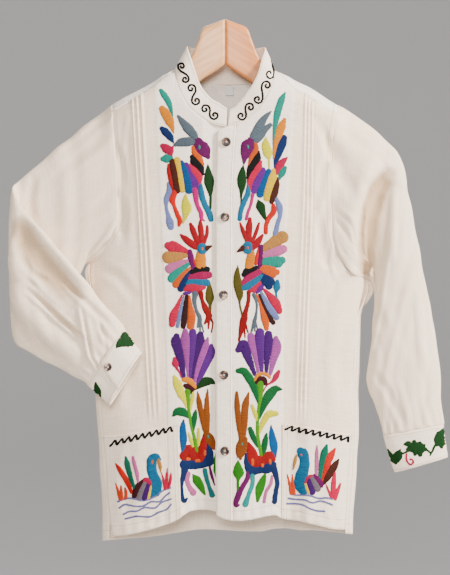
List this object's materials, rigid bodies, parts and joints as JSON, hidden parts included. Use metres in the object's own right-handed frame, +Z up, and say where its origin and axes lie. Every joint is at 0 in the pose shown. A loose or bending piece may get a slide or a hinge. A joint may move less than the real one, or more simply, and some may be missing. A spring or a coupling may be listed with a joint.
{
  "type": "shirt on a hanger",
  "caption": "Child's long-sleeved guayabera shirt with a stand collar, pin-tucks, patch pockets and a buttoned placket, hung on a plain wooden hanger, right arm bent forward.",
  "frame": {"origin": "middle of the hanger's top edge, where it is held", "axes": "+Z up, the front of the shirt faces -Y, the wearer's left is towards +X"},
  "size_m": [0.4818, 0.0801, 0.5751],
  "materials": {
    "cotton": "matt unbleached plain weave",
    "thread": "embroidery cotton in many colours",
    "button": "polished, marbled brown and cream",
    "label": "plain white tape",
    "wood": "clear satin lacquer"
  },
  "bodies": {
    "root": {"front_right": "cotton", "front_left": "cotton", "back": "cotton", "sleeve_right": "cotton", "sleeve_left": "cotton", "cuff_right": "cotton", "cuff_left": "cotton", "collar_band": "cotton", "button_placket": "cotton", "pocket_right": "cotton", "pocket_left": "cotton", "size_label": "label", "button_1": "button", "button_2": "button", "button_3": "button", "button_4": "button", "button_5": "button", "cuff_button_right": "button", "cuff_button_left": "button", "hanger_right_half": "wood", "hanger_left_half": "wood"}
  },
  "joints": []
}
